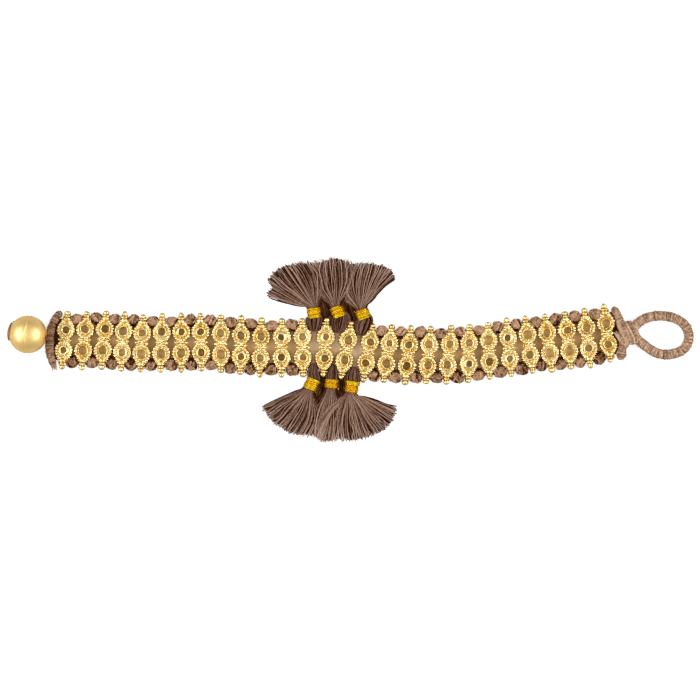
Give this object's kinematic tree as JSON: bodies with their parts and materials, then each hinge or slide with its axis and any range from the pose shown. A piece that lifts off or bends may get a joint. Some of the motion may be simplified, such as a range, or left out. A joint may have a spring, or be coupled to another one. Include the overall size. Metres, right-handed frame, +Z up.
{
  "type": "tassel bracelet",
  "caption": "Woven band of cast double-ring beads on a suede tape, with knotted edges, thread tassels bound in gold, and a ball button and cord loop that close it.",
  "frame": {"origin": "middle of the bracelet's footprint, on the surface that it lies on", "axes": "+X along the band from the ball button to the closure loop, +Y across the band towards the three tassels that point away from the viewer, +Z up off the surface"},
  "size_m": [0.1902, 0.0512, 0.0107],
  "materials": {
    "tape_suede": "taupe suede, matt",
    "cast_gold": "cast and gold plated, bright on the high points, deeper gold in the recesses",
    "knotted_cord": "dusty taupe twisted thread, knotted",
    "edge_thread": "brown twisted thread",
    "tassel_thread": "fine taupe thread, matt, with lighter tips",
    "gold_thread": "shiny golden yellow metallic thread, wound",
    "wound_cord": "taupe thread wound closely round a core",
    "satin_gold": "gold plated, satin brushed along the seam",
    "button_cord": "dark brown twisted cord"
  },
  "bodies": {
    "root": {"backing_tape": "tape_suede", "ring_bead_01": "cast_gold", "ring_bead_02": "cast_gold", "ring_bead_03": "cast_gold", "ring_bead_04": "cast_gold", "ring_bead_05": "cast_gold", "ring_bead_06": "cast_gold", "ring_bead_07": "cast_gold", "ring_bead_08": "cast_gold", "ring_bead_09": "cast_gold", "ring_bead_10": "cast_gold", "ring_bead_11": "cast_gold", "ring_bead_12": "cast_gold", "ring_bead_13": "cast_gold", "ring_bead_14": "cast_gold", "ring_bead_15": "cast_gold", "ring_bead_16": "cast_gold", "ring_bead_17": "cast_gold", "ring_bead_18": "cast_gold", "ring_bead_19": "cast_gold", "ring_bead_20": "cast_gold", "ring_bead_21": "cast_gold", "ring_bead_22": "cast_gold", "ring_bead_23": "cast_gold", "ring_bead_24": "cast_gold", "ring_bead_25": "cast_gold", "ring_bead_26": "cast_gold", "ring_bead_27": "cast_gold", "ring_bead_28": "cast_gold", "edge_knots_back": "knotted_cord", "edge_knots_front": "knotted_cord", "edge_thread_back": "edge_thread", "edge_thread_front": "edge_thread", "tassel_back_1": "tassel_thread", "tassel_back_2": "tassel_thread", "tassel_back_3": "tassel_thread", "tassel_front_1": "tassel_thread", "tassel_front_2": "tassel_thread", "tassel_front_3": "tassel_thread", "tassel_binding_back_1": "gold_thread", "tassel_binding_back_2": "gold_thread", "tassel_binding_back_3": "gold_thread", "tassel_binding_front_1": "gold_thread", "tassel_binding_front_2": "gold_thread", "tassel_binding_front_3": "gold_thread", "button_end_cord": "wound_cord", "ball_button": "satin_gold", "button_cord": "button_cord", "loop_end_cord": "wound_cord", "loop_neck": "wound_cord", "closure_loop": "wound_cord"}
  },
  "joints": []
}
